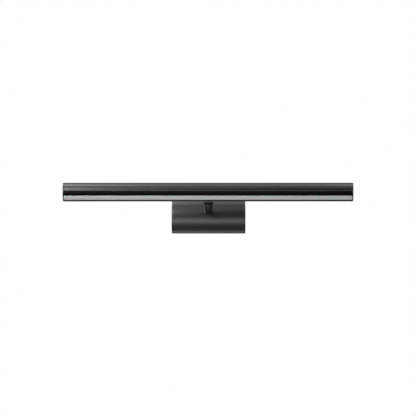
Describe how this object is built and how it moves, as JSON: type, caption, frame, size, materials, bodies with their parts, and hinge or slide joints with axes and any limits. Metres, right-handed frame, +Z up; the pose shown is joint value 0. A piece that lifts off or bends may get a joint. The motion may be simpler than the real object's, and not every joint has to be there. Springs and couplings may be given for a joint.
{
  "type": "vanity light bar",
  "caption": "Round wall light bar with a frosted lens, tilting on a knuckle at the end of a short stem that stands on a rectangular backplate with a bowed face.",
  "frame": {"origin": "on the wall plane, behind the middle of the backplate and in line with the stem", "axes": "+X along the bar, +Z up, +Y into the wall; the light stands out along -Y"},
  "size_m": [0.59, 0.1591, 0.076],
  "materials": {
    "satin_gunmetal": "satin gunmetal, fine brushed grain along the bar and the plate",
    "black_anodised": "satin black anodised extrusion",
    "opal_acrylic": "frosted opal acrylic, unlit",
    "zinc_steel": "zinc plated, satin",
    "black_steel": "black oxide, satin",
    "brass": "plain turned brass",
    "green_screw": "green dyed zinc",
    "white_plastic": "moulded, matt",
    "black_rubber": "matt",
    "led_board": "white solder mask with pale yellow chips",
    "black_insulation": "wire insulation",
    "white_insulation": "wire insulation",
    "green_insulation": "wire insulation"
  },
  "bodies": {
    "wall_mount": {"backplate": "satin_gunmetal", "wall_bracket": "zinc_steel", "side_screw_left": "black_steel", "side_screw_right": "black_steel", "led_driver": "white_plastic", "driver_screw_left": "zinc_steel", "driver_screw_right": "zinc_steel", "terminal_block": "white_plastic", "terminal_screw": "zinc_steel", "ground_screw": "green_screw", "ground_wire": "green_insulation", "live_lead": "black_insulation", "neutral_lead": "white_insulation", "output_lead": "white_insulation", "stem_nipple": "brass", "lock_washer": "zinc_steel", "lock_nut": "brass", "stem_flange": "satin_gunmetal", "stem_tube": "satin_gunmetal", "lock_collar": "satin_gunmetal", "collar_screw": "black_steel"},
    "swivel": {"knuckle_rear": "satin_gunmetal", "friction_washer": "black_rubber", "pivot_screw": "black_steel", "spring_washer": "zinc_steel", "pivot_nut": "black_steel"},
    "light_bar": {"knuckle_front": "satin_gunmetal", "saddle_screw_left": "black_steel", "saddle_screw_right": "black_steel", "nut_bar": "zinc_steel", "wire_grommet": "black_rubber", "bar_housing": "satin_gunmetal", "led_carrier": "black_anodised", "led_board": "led_board", "diffuser": "opal_acrylic", "bar_lead": "white_insulation", "end_cap_left": "satin_gunmetal", "end_cap_right": "satin_gunmetal", "end_gasket_left": "black_rubber", "end_gasket_right": "black_rubber", "end_cap_screw_left_front": "black_steel", "end_cap_screw_left_back": "black_steel", "end_cap_screw_right_front": "black_steel", "end_cap_screw_right_back": "black_steel"}
  },
  "joints": [
    {"name": "bar_level", "type": "hinge", "parent": "wall_mount", "child": "swivel", "pos_m": [0, -0.081, 0], "axis": [0, 1, 0], "range_deg": [-15, 15]},
    {"name": "bar_tilt", "type": "hinge", "parent": "swivel", "child": "light_bar", "pos_m": [0, -0.107, 0], "axis": [1, 0, 0], "range_deg": [-45, 45]}
  ]
}
